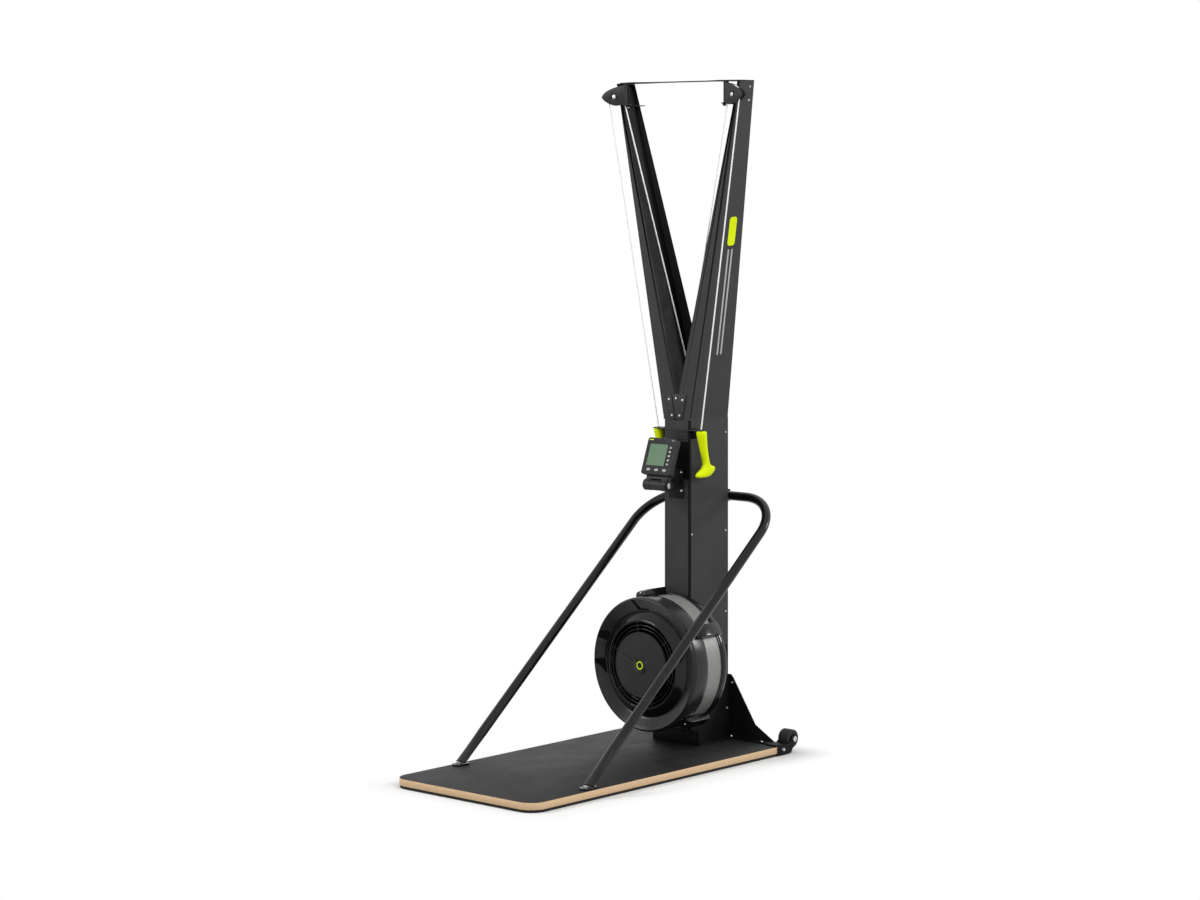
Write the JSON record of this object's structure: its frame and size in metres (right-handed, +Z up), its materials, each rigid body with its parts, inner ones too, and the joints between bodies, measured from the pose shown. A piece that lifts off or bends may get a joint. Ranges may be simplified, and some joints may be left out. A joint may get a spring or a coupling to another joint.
{
  "type": "ski trainer machine",
  "caption": "Free-standing ski trainer: a board, a mast opening into two arms with swivelling pulleys, handles on cords, a flywheel housing and a small monitor.",
  "frame": {"origin": "on the floor under the middle of the overall length and width", "axes": "+Z up; +Y from the user towards the mast; +X to the right of a user who stands on the board and faces the mast"},
  "size_m": [0.5996, 1.257, 2.16],
  "materials": {
    "film_board": "dark film on plywood, bare edge",
    "underlay": "matt",
    "powder_coat": "fine matt powder coat",
    "black_plate": "matt black powder coat",
    "tube_paint": "satin black",
    "moulded": "fine grain",
    "gloss_black": "smooth",
    "band_grey": "perforated, matt",
    "lime": "soft grip",
    "cord_white": "braided",
    "steel": "turned",
    "zinc": "zinc plated",
    "screen_glass": "reflective display, off",
    "rubber": "matt",
    "casting": "machined"
  },
  "bodies": {
    "frame": {"base_board": "film_board", "underlay": "underlay", "rear_base_plate": "black_plate", "mast_column": "powder_coat", "mast_back_panel": "powder_coat", "mast_splice": "black_plate", "gusset_plate": "powder_coat", "top_strap": "black_plate", "handle_hook": "black_plate", "monitor_bracket": "moulded", "housing_front": "moulded", "screen_band": "band_grey", "grille": "moulded", "housing_rear": "gloss_black", "mast_shoe": "black_plate", "return_cord": "rubber", "roller_bracket_left": "black_plate", "arm_left": "powder_coat", "pivot_lug_left": "black_plate", "pivot_bolt_left": "zinc", "cord_run_left": "cord_white", "brace_tube_left": "tube_paint", "foot_bolt_left": "zinc", "roller_bracket_right": "black_plate", "arm_right": "powder_coat", "pivot_lug_right": "black_plate", "pivot_bolt_right": "zinc", "cord_run_right": "cord_white", "brace_tube_right": "tube_paint", "foot_bolt_right": "zinc"},
    "flywheel_body": {"flywheel": "casting"},
    "monitor_body": {"monitor_case": "moulded", "monitor_screen": "screen_glass"},
    "damper_body": {"damper_ring": "moulded"},
    "handle_body_left": {"handle_left": "lime", "cord_fall_left": "cord_white"},
    "bracket_body_left": {"pulley_bracket_left": "moulded", "pulley_axle_left": "zinc", "cord_wrap_left": "cord_white"},
    "pulley_body_left": {"pulley_left": "gloss_black"},
    "drum_body_left": {"cord_drum_left": "gloss_black"},
    "guide_body_left": {"guide_roller_left": "steel"},
    "roller_body_left": {"roller_left": "rubber"},
    "handle_body_right": {"handle_right": "lime", "cord_fall_right": "cord_white"},
    "bracket_body_right": {"pulley_bracket_right": "moulded", "pulley_axle_right": "zinc", "cord_wrap_right": "cord_white"},
    "pulley_body_right": {"pulley_right": "gloss_black"},
    "drum_body_right": {"cord_drum_right": "gloss_black"},
    "guide_body_right": {"guide_roller_right": "steel"},
    "roller_body_right": {"roller_right": "rubber"},
    "side_button_body_1": {"side_button_1": "gloss_black"},
    "side_button_body_2": {"side_button_2": "gloss_black"},
    "side_button_body_3": {"side_button_3": "gloss_black"},
    "side_button_body_4": {"side_button_4": "gloss_black"},
    "side_button_body_5": {"side_button_5": "gloss_black"},
    "bottom_button_body_1": {"bottom_button_1": "gloss_black"},
    "bottom_button_body_2": {"bottom_button_2": "gloss_black"},
    "bottom_button_body_3": {"bottom_button_3": "gloss_black"}
  },
  "joints": [
    {"name": "flywheel_spin", "type": "hinge", "parent": "frame", "child": "flywheel_body", "pos_m": [0, 0.2845, 0.3], "axis": [0, 1, 0], "continuous": true},
    {"name": "handle_slide_left", "type": "slide", "parent": "frame", "child": "handle_body_left", "axis": [0, 0, -1], "range_m": [0, 0.36], "stiffness_N_per_m": 25, "springref_m": -0.3, "deforming": ["cord_fall_left"]},
    {"name": "bracket_swivel_left", "type": "hinge", "parent": "frame", "child": "bracket_body_left", "pos_m": [-0.203, 0.3605, 2.113], "axis": [0, 0, 1], "range_deg": [0, 12]},
    {"name": "pulley_spin_left", "type": "hinge", "parent": "bracket_body_left", "child": "pulley_body_left", "pos_m": [-0.25002, 0.35085, 2.113], "axis": [0.2011, -0.9796, 0], "range_deg": [-20, 790]},
    {"name": "drum_spin_left", "type": "hinge", "parent": "frame", "child": "drum_body_left", "pos_m": [0, 0.4765, 0.3], "axis": [0, -1, 0], "range_deg": [-20, 1070]},
    {"name": "guide_spin_left", "type": "hinge", "parent": "frame", "child": "guide_body_left", "pos_m": [0.03315, 0.4765, 1.03], "axis": [0, 1, 0], "range_deg": [-40, 1630]},
    {"name": "roller_spin_left", "type": "hinge", "parent": "frame", "child": "roller_body_left", "pos_m": [-0.2713, 0.5995, 0.045], "axis": [1, 0, 0], "continuous": true},
    {"name": "handle_slide_right", "type": "slide", "parent": "frame", "child": "handle_body_right", "axis": [0, 0, -1], "range_m": [0, 0.36], "stiffness_N_per_m": 25, "springref_m": -0.3, "deforming": ["cord_fall_right"]},
    {"name": "bracket_swivel_right", "type": "hinge", "parent": "frame", "child": "bracket_body_right", "pos_m": [0.203, 0.3605, 2.113], "axis": [0, 0, 1], "range_deg": [-12, 0]},
    {"name": "pulley_spin_right", "type": "hinge", "parent": "bracket_body_right", "child": "pulley_body_right", "pos_m": [0.25002, 0.35085, 2.113], "axis": [0.2011, 0.9796, 0], "range_deg": [-20, 790]},
    {"name": "drum_spin_right", "type": "hinge", "parent": "frame", "child": "drum_body_right", "pos_m": [0, 0.3945, 0.3], "axis": [0, 1, 0], "range_deg": [-20, 1070]},
    {"name": "guide_spin_right", "type": "hinge", "parent": "frame", "child": "guide_body_right", "pos_m": [-0.03315, 0.3945, 1.03], "axis": [0, -1, 0], "range_deg": [-40, 1630]},
    {"name": "roller_spin_right", "type": "hinge", "parent": "frame", "child": "roller_body_right", "pos_m": [0.2713, 0.5995, 0.045], "axis": [1, 0, 0], "continuous": true},
    {"name": "monitor_tilt", "type": "hinge", "parent": "frame", "child": "monitor_body", "pos_m": [0, 0.2695, 0.866], "axis": [1, 0, 0], "range_deg": [-5, 20]},
    {"name": "damper_turn", "type": "hinge", "parent": "frame", "child": "damper_body", "pos_m": [0, 0.193, 0.3], "axis": [0, 1, 0], "range_deg": [-7, 55]},
    {"name": "side_button_press_1", "type": "slide", "parent": "monitor_body", "child": "side_button_body_1", "axis": [0, 0.9397, -0.342], "range_m": [0, 0.001], "stiffness_N_per_m": 500},
    {"name": "side_button_press_2", "type": "slide", "parent": "monitor_body", "child": "side_button_body_2", "axis": [0, 0.9397, -0.342], "range_m": [0, 0.001], "stiffness_N_per_m": 500},
    {"name": "side_button_press_3", "type": "slide", "parent": "monitor_body", "child": "side_button_body_3", "axis": [0, 0.9397, -0.342], "range_m": [0, 0.001], "stiffness_N_per_m": 500},
    {"name": "side_button_press_4", "type": "slide", "parent": "monitor_body", "child": "side_button_body_4", "axis": [0, 0.9397, -0.342], "range_m": [0, 0.001], "stiffness_N_per_m": 500},
    {"name": "side_button_press_5", "type": "slide", "parent": "monitor_body", "child": "side_button_body_5", "axis": [0, 0.9397, -0.342], "range_m": [0, 0.001], "stiffness_N_per_m": 500},
    {"name": "bottom_button_press_1", "type": "slide", "parent": "monitor_body", "child": "bottom_button_body_1", "axis": [0, 0.9397, -0.342], "range_m": [0, 0.001], "stiffness_N_per_m": 500},
    {"name": "bottom_button_press_2", "type": "slide", "parent": "monitor_body", "child": "bottom_button_body_2", "axis": [0, 0.9397, -0.342], "range_m": [0, 0.001], "stiffness_N_per_m": 500},
    {"name": "bottom_button_press_3", "type": "slide", "parent": "monitor_body", "child": "bottom_button_body_3", "axis": [0, 0.9397, -0.342], "range_m": [0, 0.001], "stiffness_N_per_m": 500}
  ],
  "couplings": [
    {"joint": "pulley_spin_left", "follows": "handle_slide_left", "rad_per_m": 36.56},
    {"joint": "drum_spin_left", "follows": "handle_slide_left", "rad_per_m": 50},
    {"joint": "guide_spin_left", "follows": "handle_slide_left", "rad_per_m": 76.05},
    {"joint": "pulley_spin_right", "follows": "handle_slide_right", "rad_per_m": 36.56},
    {"joint": "drum_spin_right", "follows": "handle_slide_right", "rad_per_m": 50},
    {"joint": "guide_spin_right", "follows": "handle_slide_right", "rad_per_m": 76.05}
  ]
}
